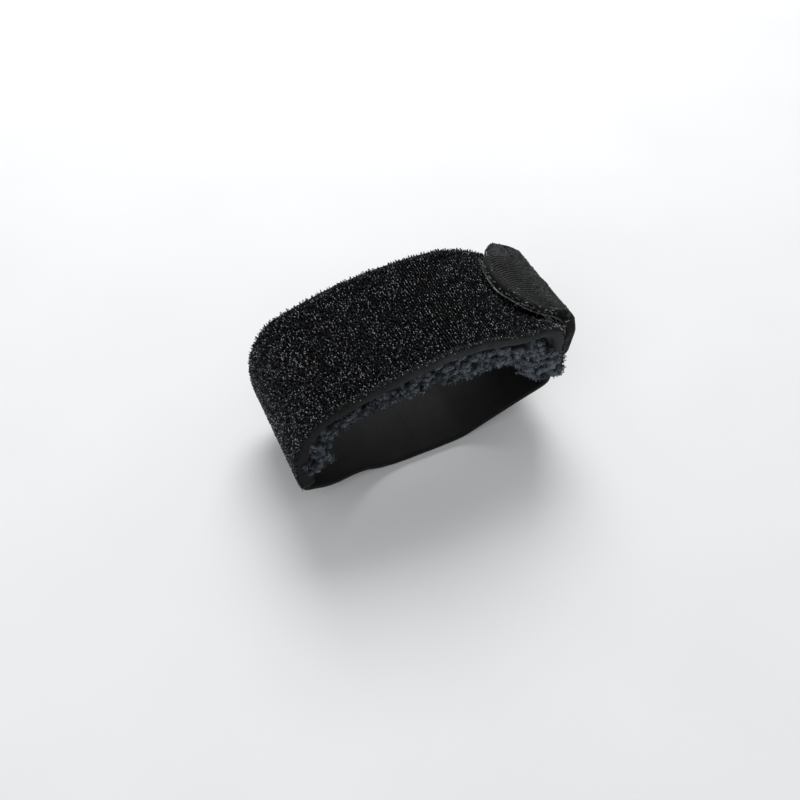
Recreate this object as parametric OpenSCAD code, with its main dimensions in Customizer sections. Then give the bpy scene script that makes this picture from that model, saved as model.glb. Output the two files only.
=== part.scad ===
// Soft wrap that closes round a guitar neck and damps the strings.
// A padded band lies over the strings, a narrow elastic strap passes under the neck,
// and a hook tab comes up the treble side and folds down onto the band's loop pile.
// X runs across the neck (+X treble side), Y along it (+Y to the headstock), Z up.
// The origin is on the resting surface, under the middle of the wrap.

/* [Band over the strings] */
// Width of the band along the neck
band_w = 26.5; // [22:0.5:32]
// Height of the crown of the band above the resting surface
crown_z = 37.4; // [36:0.1:39]
// Distance from the middle to the outside of the bass-side wall
wall_left = 30.6; // [30:0.1:31]
// Distance from the middle to the outside of the treble-side wall
wall_right = 27.3; // [26.8:0.1:27.5]
// Thickness of the loop pile facing
facing_t = 0.9; // [0.6:0.1:1.2]
// Thickness of the foam inside the band
foam_t = 1.2; // [0.8:0.1:1.5]
// Thickness of the knit lining
lining_t = 0.5; // [0.3:0.1:0.7]
// Width of the smooth binding along each long edge
binding_w = 1.2; // [0.8:0.1:2]

/* [Fleece pad] */
// How far the fleece stops short of each long edge
fleece_setback = 0.9; // [0.4:0.1:2]
// Thickness of the knit ground that carries the fleece
carrier_t = 0.5; // [0.3:0.1:0.8]
// Height of the strings, where the fleece ends
string_z = 25.6; // [25:0.1:27]

/* [Guitar neck] */
// Width of the neck at the first fret
neck_w = 44; // [42:0.5:44.5]
// Offset of the neck's middle from the middle of the wrap
neck_x = -1.2; // [-1.5:0.1:-0.9]

/* [Elastic strap] */
// Width of the elastic
strap_w = 20; // [18:0.5:22]
// Thickness of the elastic
strap_t = 1.2; // [1:0.1:1.4]

/* [Hook tab] */
// Width of the tab along the neck
tab_w = 24.8; // [22:0.2:26]
// Thickness of the woven outer face
face_t = 0.6; // [0.5:0.1:0.8]
// Thickness of the filler in the folded part
filler_t = 0.8; // [0.6:0.1:1]
// Thickness of the hook tape's ground
hook_tape_t = 0.4; // [0.3:0.1:0.5]
// Height of the hooks
hook_h = 0.45; // [0.3:0.05:0.5]
// Gap between the hooks and the pile facing
hook_gap = 0.35; // [0.3:0.05:0.5]
// Radius of the tab's round tip
tip_r = 11.7; // [11:0.1:12]
// Rise of the folded tab above level, in degrees
tab_rise = 18.5; // [18:0.5:21]
// How far the hook tape shows beyond the woven face
hook_lip = 0.4; // [0.2:0.1:0.8]

/* [Hidden] */

steps = 4;                          // points on each stretch of a spline
laminate_t = facing_t + foam_t + lining_t;
clear = 0.3;                        // room between bodies at a fold
seam_r = 0.2;                       // sewing thread
stitch_l = 1.7;
stitch_pitch = 2.6;

// Outside of the band, from the bass-side foot over the crown to the treble-side foot.
foot_left = 9.2;
foot_right = 17.6;
band_outline = [
    [-wall_left + 1.0, foot_left], [-wall_left + 0.1, 14.8], [-wall_left + 0.3, crown_z - 16.6],
    [-wall_left + 2.0, crown_z - 11.2], [-wall_left + 5.8, crown_z - 6.7],
    [-18.2, crown_z - 4.3], [-9.2, crown_z - 1.9], [-0.2, crown_z - 0.3],
    [6.8, crown_z], [14.6, crown_z - 1.9], [wall_right - 6.2, crown_z - 5.1],
    [wall_right - 1.7, crown_z - 9.6], [wall_right, crown_z - 15.0], [wall_right, foot_right]
];

// Middle of the elastic under the neck, from the bass-side fold to the treble-side fold:
// three straight stretches, with round bends beside the flat on which the wrap rests.
fold_left = [-27.8, 7.9];
fold_right = [29.2, 9.8];
flat_left = [-8.2, strap_t / 2];
flat_right = [6.4, strap_t / 2];
strap_bend_r = 13;
fold_left_r = 0.85;

// The tab's wall stands beside the band's treble-side wall.
hook_tip_x = wall_right + hook_gap;
tape_x = hook_tip_x + hook_h;
core_x = tape_x + hook_tape_t;
face_x = core_x + strap_t;
tab_x = face_x + face_t;
tab_half_t = (tab_x - tape_x) / 2;
tab_pivot = [tape_x + tab_half_t, 32.2];
tab_foot = 16;                      // lower edge of the wide tab
elastic_top = 21.5;                 // where the elastic ends inside the tab
tab_start = tab_half_t + clear;     // clear of the fold's round
tab_near = -band_w / 2;             // the tab's edge away from the headstock
tab_y = tab_near + tab_w / 2;       // middle of the tab along the neck
tip_centre = [-0.3, 1.5];           // centre of the round tip, from the fold and the band's middle

// Splines and offsets.
function cubic(a, b, c, d, t) =
    0.5 * (2 * b + (c - a) * t + (2 * a - 5 * b + 4 * c - d) * t * t
           + (3 * b - a - 3 * c + d) * t * t * t);
function spline(p) = concat(
    [for (i = [0:len(p) - 2]) for (j = [0:steps - 1])
        cubic(p[max(i - 1, 0)], p[i], p[i + 1], p[min(i + 2, len(p) - 1)], j / steps)],
    [p[len(p) - 1]]);
function heading(p, i) = unit(p[min(i + 1, len(p) - 1)] - p[max(i - 1, 0)]);
function inset(p, d) =
    [for (i = [0:len(p) - 1]) let (h = heading(p, i)) p[i] + d * [h[1], -h[0]]];
function reversed(p) = [for (i = [len(p) - 1:-1:0]) p[i]];
function unit(v) = v / norm(v);
// Points of the arc that rounds corner c between a and b, for a path that turns left.
function bend(a, c, b, r) =
    let (u = unit(a - c), v = unit(b - c), half = acos(u * v) / 2,
         centre = c + unit(u + v) * r / sin(half),
         first = atan2(-u[0], u[1]) + 180, turn = 180 - 2 * half)
    [for (k = [0:6]) let (t = first + turn * k / 6) centre + r * [cos(t), sin(t)]];
function part_of(p, from, to) = [for (i = [from:to]) p[i]];

band = spline(band_outline);
strap = concat([fold_left], bend(fold_left, flat_left, flat_right, strap_bend_r),
               bend(flat_left, flat_right, fold_right, strap_bend_r), [fold_right]);

// A shape drawn in X and Z, given its width along the neck.
module along_y(w, y = 0) {
    translate([0, y + w / 2, 0]) rotate([90, 0, 0]) linear_extrude(w) children();
}
// A layer between two depths below path p, over the path's points first to last.
module ribbon(p, from, to, w, y = 0, first = 0, last = 1000) {
    end = min(last, len(p) - 1);
    along_y(w, y)
        polygon(concat(part_of(inset(p, from), first, end),
                       reversed(part_of(inset(p, to), first, end))));
}

// Rounds the band's two corners at its bass-side foot down towards the strap.
foot_round = 1.6;
module foot_rounds(w) {
    for (s = [-1, 1])
        difference() {
            translate([-wall_left - 2, s > 0 ? w / 2 - foot_round : -w / 2 - 1, foot_left - 2])
                cube([9, foot_round + 1, foot_round + 2]);
            translate([-wall_left - 3, s * (w / 2 - foot_round), foot_left + foot_round])
                rotate([0, 90, 0]) cylinder(r = foot_round, h = 12, $fn = 48);
        }
}
module band_layer(from, to, w) {
    difference() {
        ribbon(band, from, to, w);
        foot_rounds(band_w);
    }
}

module pile_facing() {
    color([0.05, 0.05, 0.055]) band_layer(0, facing_t, band_w);
}
module foam_core() {
    color([0.16, 0.16, 0.17]) band_layer(facing_t, facing_t + foam_t, band_w - 2 * binding_w);
}
module band_lining() {
    color([0.12, 0.12, 0.13])
        band_layer(facing_t + foam_t, laminate_t, band_w - 2 * binding_w);
}

// The binding closes the laminate's cut edge, and stops where the foot is rounded off.
binding_first = 2;
module edge_binding(side) {
    color([0.14, 0.14, 0.15])
        ribbon(band, facing_t, laminate_t, binding_w, side * (band_w - binding_w) / 2,
               first = binding_first);
}
module edge_binding_near() { edge_binding(-1); }
module edge_binding_far() { edge_binding(1); }

fleece_w = band_w - 2 * fleece_setback;
fleece_first = 3;
module fleece_carrier() {
    color([0.2, 0.22, 0.26])
        ribbon(band, laminate_t, laminate_t + carrier_t, fleece_w, first = fleece_first);
}

// The fleece fills the space between its ground and the neck: it ends on the strings above
// and reaches down both sides of the neck.
side_gap = 0.35;
module fleece_pad() {
    outer = part_of(inset(band, laminate_t + carrier_t), fleece_first, len(band) - 1);
    left = neck_x - neck_w / 2 - side_gap;
    right = neck_x + neck_w / 2 + side_gap;
    tail = 14.2;
    inner = [
        [right + 2.4, tail], [right + 0.3, tail + 0.5], [right, 21.5], [right - 1.3, 24.4],
        [right - 4, string_z], [left + 4, string_z], [left + 1.3, 24.4], [left, 21.5],
        [left - 0.2, 15]
    ];
    color([0.3, 0.34, 0.41]) along_y(fleece_w) polygon(concat(outer, inner));
}

// One stitch lies along the outline at point i; its thread sits half in the fabric.
module stitch(p, i, d, y) {
    h = heading(p, i);
    at = inset(p, d)[i];
    translate([at[0], y, at[1]])
        rotate([0, -atan2(h[1], h[0]), 0]) rotate([0, 90, 0])
            cylinder(r = seam_r, h = stitch_l, center = true, $fn = 8);
}
module pad_seam(side) {
    color([0.05, 0.05, 0.05])
        for (i = [5:2:len(band) - 4])
            stitch(band, i, laminate_t + seam_r, side * (band_w / 2 - fleece_setback / 2));
}
module pad_seam_near() { pad_seam(-1); }
module pad_seam_far() { pad_seam(1); }

// Closes the band's treble-side end, under the tab.
module pad_end_binding() {
    depth = laminate_t + carrier_t;
    color([0.14, 0.14, 0.15])
        translate([wall_right - depth, -fleece_w / 2, foot_right - 0.9])
            cube([depth, fleece_w, 0.9]);
}

// The elastic's sewn end, inside the band at the bass-side foot, below the fleece.
module strap_tongue() {
    color([0.1, 0.1, 0.11])
        ribbon(band, laminate_t, laminate_t + strap_t, strap_w, last = fleece_first);
}
module bar_tack(x, z, w, rows, gap) {
    for (r = [0:rows - 1])
        for (y = [-w / 2 + stitch_l / 2:stitch_pitch:w / 2 - stitch_l / 2])
            translate([x, y, z + r * gap])
                rotate([90, 0, 0]) cylinder(r = seam_r, h = stitch_l, center = true, $fn = 8);
}
module strap_bar_tack() {
    tack_x = band[1][0] + laminate_t + strap_t + seam_r;
    color([0.35, 0.36, 0.38]) bar_tack(tack_x, foot_left + 0.9, strap_w - 2, 2, 1.0);
}

// The elastic under the neck, with a round fold at each end.
module under_strap() {
    color([0.1, 0.1, 0.11]) {
        ribbon(strap, -strap_t / 2, strap_t / 2, strap_w);
        for (f = [[fold_left, fold_left_r], [fold_right, strap_t / 2]])
            along_y(strap_w) translate(f[0]) circle(r = f[1], $fn = 32);
    }
}

// The treble-side wall: elastic below, the wide tab sewn round its end above.
module wall_slab(x, t, low, high, w, y = 0) {
    translate([x, y - w / 2, low]) cube([t, w, high - low]);
}
elastic_low = fold_right[1] + strap_t / 2 + clear;
module side_elastic() {
    color([0.1, 0.1, 0.11]) wall_slab(core_x, strap_t, elastic_low, elastic_top, strap_w);
}
wall_top = tab_pivot[1] - 0.2;
module tab_side_face() {
    color([0.13, 0.13, 0.14]) wall_slab(face_x, face_t, tab_foot, wall_top, tab_w, tab_y);
}
module tab_side_core() {
    color([0.1, 0.1, 0.1])
        difference() {
            wall_slab(core_x, strap_t, tab_foot, wall_top, tab_w, tab_y);
            wall_slab(core_x - 1, strap_t + 2, 0, elastic_top, strap_w);
        }
}
module hook_tape_side() {
    color([0.08, 0.08, 0.08]) wall_slab(tape_x, hook_tape_t, tab_foot, wall_top, tab_w, tab_y);
}

// Hooks stand on the tape in rows.
hook_r = 0.22;
hook_pitch = 2.4;
module hook_field_side() {
    color([0.2, 0.2, 0.2])
        for (z = [tab_foot + 1.4:hook_pitch:wall_top - 8])
            for (y = [tab_near + 1.6:hook_pitch:tab_near + tab_w - 1.5])
                translate([hook_tip_x, y, z])
                    rotate([0, 90, 0]) cylinder(r = hook_r, h = hook_h, $fn = 6);
}
module tab_side_stitching() {
    color([0.04, 0.04, 0.04])
        for (s = [-1, 1])
            for (z = [tab_foot + 1.5:stitch_pitch:wall_top - 1])
                translate([tab_x, tab_y + s * (tab_w / 2 - 1.3), z])
                    cylinder(r = seam_r, h = stitch_l, center = true, $fn = 8);
}
module tab_bar_tack() {
    color([0.04, 0.04, 0.04]) bar_tack(tab_x, tab_foot + 1.0, strap_w - 2, 2, 2.2);
}
// The woven face turns over this round where the tab folds down.
module tab_fold() {
    color([0.13, 0.13, 0.14])
        difference() {
            along_y(tab_w, tab_y) translate(tab_pivot) circle(r = tab_half_t, $fn = 48);
            wall_slab(tape_x - 1, 2 * tab_half_t + 2, 0, wall_top, band_w + 2);
        }
}

// The folded part, drawn flat with u away from the fold and turned into place.
module folded() {
    translate([tab_pivot[0], 0, tab_pivot[1]])
        rotate([0, tab_rise, 0]) mirror([1, 0, 0]) children();
}
module tip_outline(back) {
    intersection() {
        translate(tip_centre) circle(r = tip_r + hook_lip - back, $fn = 96);
        translate([tab_start, tab_near]) square([2 * tip_r, tab_w]);
    }
}
module tip_layer(low, t, back) {
    folded() translate([0, 0, low]) linear_extrude(t) tip_outline(back);
}
face_low = tab_half_t - face_t;     // the face is flush with the fold's round
filler_low = face_low - filler_t;
tape_low = filler_low - hook_tape_t;
module tab_face() {
    color([0.13, 0.13, 0.14]) tip_layer(face_low, face_t, hook_lip);
}
module tab_core() {
    color([0.1, 0.1, 0.1]) tip_layer(filler_low, filler_t, hook_lip + 0.3);
}
module hook_tape_tip() {
    color([0.08, 0.08, 0.08]) tip_layer(tape_low, hook_tape_t, 0);
}
module hook_field_tip() {
    color([0.2, 0.2, 0.2])
        folded()
            for (u = [tab_start + 1.2:hook_pitch * 0.8:tip_r - 1])
                for (y = [tab_near + 1.6:hook_pitch:tab_near + tab_w - 1.5])
                    if (norm([u, y] - tip_centre) < tip_r - 0.8)
                        translate([u, y, tape_low - hook_h]) cylinder(r = hook_r, h = hook_h, $fn = 6);
}

// A pale woven edge runs round the end of the hook tape.
selvedge_w = 0.4;
module hook_selvedge() {
    color([0.6, 0.6, 0.6])
        folded() translate([0, 0, filler_low]) linear_extrude(0.3)
            difference() {
                tip_outline(0);
                tip_outline(selvedge_w);
            }
}
module tab_stitching() {
    r = tip_r - 1.3;
    color([0.04, 0.04, 0.04])
        folded()
            for (a = [-60:12:45])
                translate([tip_centre[0] + r * cos(a), tip_centre[1] + r * sin(a), tab_half_t])
                    rotate([0, 0, a]) rotate([90, 0, 0])
                        cylinder(r = seam_r, h = stitch_l, center = true, $fn = 8);
}

pile_facing();
foam_core();
band_lining();
edge_binding_near();
edge_binding_far();
fleece_carrier();
fleece_pad();
pad_seam_near();
pad_seam_far();
pad_end_binding();
strap_tongue();
strap_bar_tack();
under_strap();
side_elastic();
tab_side_face();
tab_side_core();
hook_tape_side();
hook_field_side();
tab_side_stitching();
tab_bar_tack();
tab_fold();
tab_face();
tab_core();
hook_tape_tip();
hook_field_tip();
hook_selvedge();
tab_stitching();
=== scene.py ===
"""A soft wrap that damps a guitar's strings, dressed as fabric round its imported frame.

Lengths in the builders below are millimetres, in the frame's axes: X across the neck,
Y along it and Z up. build_mesh() turns them into metres.
"""

import math

import bpy
import numpy as np
from mathutils import Matrix, Vector, noise


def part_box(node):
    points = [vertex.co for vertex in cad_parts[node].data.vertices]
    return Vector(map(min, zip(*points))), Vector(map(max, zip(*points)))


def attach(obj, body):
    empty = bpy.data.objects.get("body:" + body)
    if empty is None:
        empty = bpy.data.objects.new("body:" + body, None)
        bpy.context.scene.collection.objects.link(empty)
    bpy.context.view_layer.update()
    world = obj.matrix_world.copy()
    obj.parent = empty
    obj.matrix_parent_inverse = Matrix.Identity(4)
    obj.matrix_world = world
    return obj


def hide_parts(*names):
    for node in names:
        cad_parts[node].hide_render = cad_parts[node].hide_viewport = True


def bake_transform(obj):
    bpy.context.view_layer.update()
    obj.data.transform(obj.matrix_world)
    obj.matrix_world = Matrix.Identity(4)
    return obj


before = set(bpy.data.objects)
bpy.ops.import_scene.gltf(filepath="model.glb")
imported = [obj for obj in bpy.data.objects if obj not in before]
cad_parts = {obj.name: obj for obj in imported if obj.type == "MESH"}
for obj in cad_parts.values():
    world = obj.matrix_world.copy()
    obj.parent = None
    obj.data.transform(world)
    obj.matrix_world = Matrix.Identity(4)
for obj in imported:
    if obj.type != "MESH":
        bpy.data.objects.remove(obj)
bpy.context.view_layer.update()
scene = bpy.context.scene

MM = 0.001


# ---- sizes

def node_box(node):
    """Lowest and highest corner of a CAD node, in millimetres."""
    low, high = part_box(node)
    return np.array(low) / MM, np.array(high) / MM


facing_low, facing_high = node_box("pile_facing")
strap_low, strap_high = node_box("under_strap")
wall_low, wall_high = node_box("tab_side_face")
tape_low, _ = node_box("hook_tape_side")
_, elastic_high = node_box("side_elastic")

BAND_W = facing_high[1] - facing_low[1]
HALF_W = BAND_W / 2
CROWN_Z = facing_high[2] - 0.11         # the spline rises that much over its points
WALL_LEFT = -facing_low[0] + 0.04
WALL_RIGHT = facing_high[0] - 0.12
FOOT_LEFT = facing_low[2]
FOOT_RIGHT = 17.6
FOOT_ROUND = 1.6
STRING_Z = 25.6

FACING_T = 0.9
FOAM_T = 1.2
LINING_T = 0.5
CARRIER_T = 0.5
LAMINATE_T = FACING_T + FOAM_T + LINING_T
FLEECE_SETBACK = 0.9
FLEECE_FOOT_Z = 13.6

STRAP_HALF = (strap_high[1] - strap_low[1]) / 2
STRAP_T = 1.2
ELASTIC_TOP = elastic_high[2]

TAB_NEAR = wall_low[1]
TAB_FAR = wall_high[1]
TAB_FOOT = wall_low[2]
TAB_OUT = wall_high[0]
TAB_HALF_T = (TAB_OUT - tape_low[0]) / 2
PIVOT = np.array([TAB_OUT - TAB_HALF_T, wall_high[2] + 0.2])
TAB_RISE = math.radians(18.5)
TIP_R = 11.7
TIP_U = -0.3                            # where the tip's centre lies, from the fold's end
TIP_Y = 1.5
HOOK_H = 0.45
RIB = 0.62                              # pitch of the elastic's ribs
LOOP_ROW = 0.58                         # between the pile's rows of loops
LOOP_PITCH = 0.26                       # between loops in a row
STITCH = 1.15                           # length of a stitch
STITCH_RISE = 0.10                      # its height over the cloth
STITCH_SINK = 0.14                      # how far its ends go down


def smooth(t):
    """0 to 1 with level ends."""
    t = np.clip(t, 0.0, 1.0)
    return t * t * (3 - 2 * t)


def unit(vectors):
    """Vectors brought to a length of one."""
    return vectors / (np.linalg.norm(vectors, axis=-1, keepdims=True) + 1e-9)


def bell(x, width):
    """1 at 0, falling off on both sides."""
    return np.exp(-(x / width) ** 2)


def rounded(gap, r):
    """0 at a rim and 1 further in than r, with a round between."""
    return np.sqrt(np.clip(1 - (1 - np.minimum(gap, r) / r) ** 2, 0, 1))


def noise_at(points, scale, seed):
    """Smooth noise from about -1 to 1 at millimetre points, its features of that scale."""
    shift = Vector((seed, seed * 1.7, seed * 0.3))
    flat = points.reshape(-1, 3) / scale
    return np.array([noise.noise(Vector(p) + shift) for p in flat])


def noise_on(a, y, scale, seed, third=0.0):
    """The same over a cloth's own lengths, in their shape."""
    places = np.stack(np.broadcast_arrays(a, y, third), -1)
    return noise_at(places, scale, seed).reshape(places.shape[:-1])


def settle(points):
    """Lets the band lie lower towards the headstock, most of all in its middle."""
    x, y, z = np.moveaxis(points, -1, 0)
    across = smooth((y + HALF_W) / BAND_W)
    above = smooth((z - STRING_Z) / (CROWN_Z - 3 - STRING_Z))
    sag = 0.9 * bell(x - 5, 8) + 0.35 * smooth((x - 12) / 8)
    sag = sag - 0.3 * smooth((-5 - x) / 8)
    return np.stack([x, y, z - sag * across * above], -1)


# ---- meshes

def grid_faces(rows, columns):
    """Quads over a grid of points whose last column meets its first."""
    r, c = np.indices((rows - 1, columns))
    here = r * columns + c
    beside = r * columns + (c + 1) % columns
    return np.stack([here, beside, beside + columns, here + columns], -1).reshape(-1, 4)


def circle(count):
    """Angles once round, evenly spaced."""
    return 2 * np.pi * np.arange(count) / count


def capped(rows, columns):
    """The grid's quads and a face over each end."""
    first = np.arange(columns)[::-1][None, :]
    last = (rows - 1) * columns + np.arange(columns)[None, :]
    return [grid_faces(rows, columns), first, last]


def build_mesh(name, points, faces):
    """A mesh from millimetre points and faces, with its normals outwards."""
    points = np.asarray(points, float).reshape(-1, 3) * MM
    fans = [f[:, [0, i, i + 1]] for f in faces for i in range(1, f.shape[1] - 1)]
    a, b, c = points[np.concatenate(fans)].swapaxes(0, 1)
    if (a * np.cross(b, c)).sum() < 0:
        faces = [f[:, ::-1] for f in faces]
    sizes = np.concatenate([np.full(len(f), f.shape[1]) for f in faces])
    corners = np.concatenate([f.ravel() for f in faces]).astype(np.int32)
    mesh = bpy.data.meshes.new(name)
    mesh.vertices.add(len(points))
    mesh.vertices.foreach_set("co", points.ravel())
    mesh.loops.add(len(corners))
    mesh.loops.foreach_set("vertex_index", corners)
    mesh.polygons.add(len(sizes))
    starts = (np.cumsum(sizes) - sizes).astype(np.int32)
    mesh.polygons.foreach_set("loop_start", starts)
    mesh.update(calc_edges=True)
    mesh.validate()
    mesh.shade_smooth()
    return mesh


def write_attribute(mesh, name, values):
    """One number, or three, for each point."""
    values = np.asarray(values, np.float32)
    kind = "FLOAT" if values.ndim == 1 else "FLOAT_VECTOR"
    attribute = mesh.attributes.new(name, kind, "POINT")
    attribute.data.foreach_set("value" if values.ndim == 1 else "vector", values.ravel())


def link(name, data):
    """A new object in the scene."""
    made = bpy.data.objects.new(name, data)
    scene.collection.objects.link(made)
    return made


def add_piece(name, mesh, material, slot, body=None, stands_for=()):
    """Links a finished mesh as a piece of the object."""
    mesh.materials.append(material)
    piece = link(name, mesh)
    if body:
        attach(piece, body)
    if stands_for:
        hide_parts(*stands_for)
    return piece


def shell(name, rows, lengths, groove=None):
    """A closed strip over rows of points, with its cloth lengths and a number that scales its
    colour: random tone with painted shade and light.
    """
    mesh = build_mesh(name, rows, capped(*rows.shape[:2]))
    write_attribute(mesh, "cloth", lengths.reshape(-1, 3))
    if groove is not None:
        write_attribute(mesh, "groove", groove.ravel())
    return mesh


def tubes(lines, radius, sides):
    """Closed thin tubes along many lines at once. lines is strands by points by 3."""
    count, k, _ = lines.shape
    along = unit(np.gradient(lines, axis=1))
    plane = np.cross(lines[:, k // 2] - lines[:, 0], lines[:, -1] - lines[:, k // 2])
    flat = np.linalg.norm(plane, axis=1) < 1e-4
    plane[flat] = np.cross(along[flat, 0], [0.31, 0.52, 0.79])
    side = unit(plane[:, None] - along * np.einsum("ij,ikj->ik", plane, along)[..., None])
    up = np.cross(along, side)
    turn = circle(sides)[:, None]
    ring = np.cos(turn) * side[:, :, None] + np.sin(turn) * up[:, :, None]
    points = lines[:, :, None] + np.reshape(radius, (-1, 1, 1, 1)) * ring
    start = (np.arange(count) * k * sides)[:, None, None]
    return points, [(part + start).reshape(-1, part.shape[1]) for part in capped(k, sides)]


def strand_piece(name, lines, radius, tone, material, slot, body=None, sides=3, stands_for=()):
    """Many strands as one piece; tone, a place in the material's ramp, is one number for
    each strand or for each of its points.
    """
    mesh = build_mesh(name, *tubes(lines, radius, sides))
    tone = np.broadcast_to(tone.reshape(len(lines), -1), lines.shape[:2])
    write_attribute(mesh, "tone", np.repeat(tone, sides))
    return add_piece(name, mesh, material, slot, body, stands_for)


# ---- paths

def spline(points, steps):
    """Catmull-Rom curve through points, with steps points on each stretch."""
    points = np.asarray(points, float)
    p = np.vstack([points[:1], points, points[-1:]])
    t = (np.arange(steps) / steps)[:, None]
    parts = [0.5 * (2 * b + (c - a) * t + (2 * a - 5 * b + 4 * c - d) * t ** 2
                    + (3 * b - a - 3 * c + d) * t ** 3)
             for a, b, c, d in zip(p, p[1:], p[2:], p[3:])]
    return np.vstack(parts + [points[-1:]])


BULGE_WAY = np.array([0.79, -0.1, 0.61])


def shoulder_bulge(points, s, length):
    """How far the band's near treble shoulder is pushed out beside the tab."""
    near = -points[..., 1, None]
    left = (length - s)[..., None]
    push = 2.9 * bell(left - 12, 6) * smooth(left / 6) * smooth((near - 7) / 6)
    lift = 1.5 * bell(left - 14.5, 4) * smooth((near - 5.5) / 4)
    return push * BULGE_WAY + lift * [0, 0, 1]


class Path:
    """A curve in X and Z, read by its length. outside is 1 where its left side is."""

    def __init__(self, points, outside, settles=False):
        self.settles = settles
        steps = np.linalg.norm(np.diff(points, axis=0), axis=1)
        self.points = points
        self.at = np.concatenate([[0], np.cumsum(steps)])
        self.length = self.at[-1]
        self.heading = unit(np.gradient(points, self.at, axis=0))
        self.normal = outside * np.stack([-self.heading[:, 1], self.heading[:, 0]], 1)

    def read(self, values, s):
        return np.stack([np.interp(s, self.at, values[:, i]) for i in (0, 1)], -1)

    def place(self, s, y, depth):
        """Points at length s, y along the neck and depth under the outside."""
        s, y, depth = np.broadcast_arrays(s, y, depth)
        beyond = s - np.clip(s, 0, self.length)
        xz = self.read(self.points, s) + beyond[..., None] * self.read(self.heading, s)
        xz = xz - depth[..., None] * self.read(self.normal, s)
        points = np.stack([xz[..., 0], y, xz[..., 1]], -1)
        if not self.settles:
            return points
        return settle(points) + shoulder_bulge(points, s, self.length)

    def where(self, axis, value):
        """Length at which the path first reaches a value of X (0) or Z (1)."""
        return float(self.at[np.argmax(self.points[:, axis] >= value)])


BAND_OUTLINE = [
    (-WALL_LEFT + 1.0, FOOT_LEFT), (-WALL_LEFT + 0.1, 14.8), (-WALL_LEFT + 0.3, CROWN_Z - 16.6),
    (-WALL_LEFT + 2.0, CROWN_Z - 11.2), (-WALL_LEFT + 5.8, CROWN_Z - 6.7),
    (-18.2, CROWN_Z - 4.3), (-9.2, CROWN_Z - 1.9), (-0.2, CROWN_Z - 0.3),
    (6.8, CROWN_Z), (14.6, CROWN_Z - 1.9), (WALL_RIGHT - 6.2, CROWN_Z - 5.1),
    (WALL_RIGHT - 1.7, CROWN_Z - 9.6), (WALL_RIGHT, CROWN_Z - 15.0), (WALL_RIGHT, FOOT_RIGHT),
]
band = Path(spline(BAND_OUTLINE, 24), outside=1, settles=True)
level_band = Path(band.points, outside=1)


def band_half(s, inset=0.0):
    """Half the band's width at length s, less inset: its bass-side corners are round."""
    short = np.clip(FOOT_ROUND - (s - inset), 0, FOOT_ROUND)
    return HALF_W - inset - FOOT_ROUND + np.sqrt(FOOT_ROUND ** 2 - short ** 2)


def slab(low, high, r, across):
    """Section of a strip between two depths, with round edges.

    Each row is a share of the half width, what is added to it, and a depth.
    """
    middle = (low + high) / 2
    turn = np.radians([22.5, 45, 67.5])
    flat = np.linspace(-1, 1, across)
    top = [(v, -v * r, low) for v in flat]
    right = [(1, r * math.sin(a) - r, low + r - r * math.cos(a)) for a in turn]
    right += [(1, 0, middle)] + [(1, e, 2 * middle - d) for _, e, d in reversed(right)]
    bottom = [(v, -v * r, high) for v in flat[::-1]]
    left = [(-1, -e, d) for _, e, d in reversed(right)]
    return np.array(top + right + bottom + left)


def sweep(name, path, s, section, half, ripple=None):
    """A closed strip along path; ripple gives how far its surface stands proud."""
    share, extra, depth = section.T
    s = np.concatenate([s[:1], s[:1] + 0.02, s[1:-1], s[-1:] - 0.02, s[-1:]])[:, None]
    S = s + 0 * share
    Y = half(s) * share + extra
    D = depth + 0 * s
    if ripple:
        middle = (depth.min() + depth.max()) / 2
        D = D + np.where(D > middle, 1, -1) * ripple(S, Y) * (abs(D - middle) > 1e-6)
    return shell(name, path.place(S, Y, D), np.stack([S, Y, D], -1))


def stations(start, end, step):
    """Evenly spaced lengths from start to end."""
    return np.linspace(start, end, max(2, int(round((end - start) / step)) + 1))


# ---- materials

def new_material(name, roughness, specular, sheen=0.0):
    """A principled material; its constant values are set on the shader itself."""
    material = bpy.data.materials.new(name)
    material.use_nodes = True
    shader = material.node_tree.nodes["Principled BSDF"]
    shader.inputs["Roughness"].default_value = roughness
    shader.inputs["Specular IOR Level"].default_value = specular
    shader.inputs["Sheen Weight"].default_value = sheen
    shader.inputs["Sheen Roughness"].default_value = 0.45
    return material, material.node_tree, shader


def node(tree, kind, inputs, **settings):
    """A node with its inputs, which are numbers or sockets, and some settings."""
    made = tree.nodes.new("ShaderNode" + kind)
    for key, value in settings.items():
        setattr(made, key, value)
    for key, value in inputs.items():
        if isinstance(value, (int, float)):
            made.inputs[key].default_value = value
        else:
            tree.links.new(value, made.inputs[key])
    return made


def grain(tree, size, detail=3.0):
    """Noise whose features are size millimetres."""
    place = node(tree, "TexCoord", {}).outputs["Object"]
    inputs = {"Vector": place, "Scale": 1 / (size * MM), "Detail": detail}
    return node(tree, "TexNoise", inputs).outputs["Fac"]


def ramp(tree, source, stops):
    """Colours along a value; each stop is a position and a colour."""
    made = node(tree, "ValToRGB", {"Fac": source})
    elements = made.color_ramp.elements
    while len(elements) < len(stops):
        elements.new(0.5)
    for element, (position, colour) in zip(elements, stops):
        element.position = position
        element.color = (*colour, 1)
    return made.outputs["Color"]


def maths(tree, operation, *values):
    """A maths node over sockets or numbers."""
    return node(tree, "Math", dict(enumerate(values)), operation=operation).outputs[0]


def times(tree, a, b):
    """A product of sockets or numbers."""
    return maths(tree, "MULTIPLY", a, b)


def multiply(tree, colour, factor):
    """A colour darkened by a grey factor."""
    inputs = {0: 1.0, 6: colour, 7: factor}
    return node(tree, "Mix", inputs, data_type="RGBA", blend_type="MULTIPLY").outputs[2]


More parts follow.
